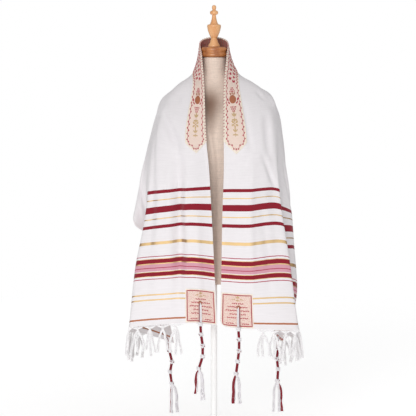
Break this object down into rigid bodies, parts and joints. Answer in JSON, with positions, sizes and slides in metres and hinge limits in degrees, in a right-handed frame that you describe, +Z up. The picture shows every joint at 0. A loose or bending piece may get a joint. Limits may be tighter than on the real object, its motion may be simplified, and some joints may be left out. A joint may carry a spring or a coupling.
{
  "type": "tallit prayer shawl on a limbless dress form",
  "caption": "White tallit prayer shawl with crimson and gold woven bands, brocade neckband and knotted corner tassels, worn open on a limbless linen dress form with a round stand.",
  "frame": {"origin": "centre of the underside of the stand's base plate", "axes": "+Z up along the form's pole and neck; the open front of the shawl faces -Y and the left front panel in the front view lies towards -X"},
  "size_m": [0.5517, 0.304, 1.35],
  "materials": {
    "shawl_wool": "plain woven wool and silk, matt with a soft sheen",
    "brocade": "woven brocade with gold and crimson threads",
    "tassel_cord": "twisted wool cord, white and dark crimson",
    "fringe_yarn": "loosely twisted yarn",
    "linen": "tight plain linen over a padded form",
    "turned_wood": "satin varnish, red brown",
    "pale_wood": "satin varnish, honey",
    "stand_paint": "white powder coat"
  },
  "bodies": {
    "root": {"shawl_cloth": "shawl_wool", "neckband": "brocade", "patch_front_left": "brocade", "patch_front_right": "brocade", "patch_rear_left": "brocade", "patch_rear_right": "brocade", "tassel_front_left": "tassel_cord", "tassel_front_right": "tassel_cord", "tassel_rear_left": "tassel_cord", "tassel_rear_right": "tassel_cord", "fringe_left": "fringe_yarn", "fringe_right": "fringe_yarn", "form_torso": "linen", "neck_cap": "turned_wood", "finial": "pale_wood", "stand_pole": "stand_paint", "stand_base": "stand_paint"}
  },
  "joints": []
}
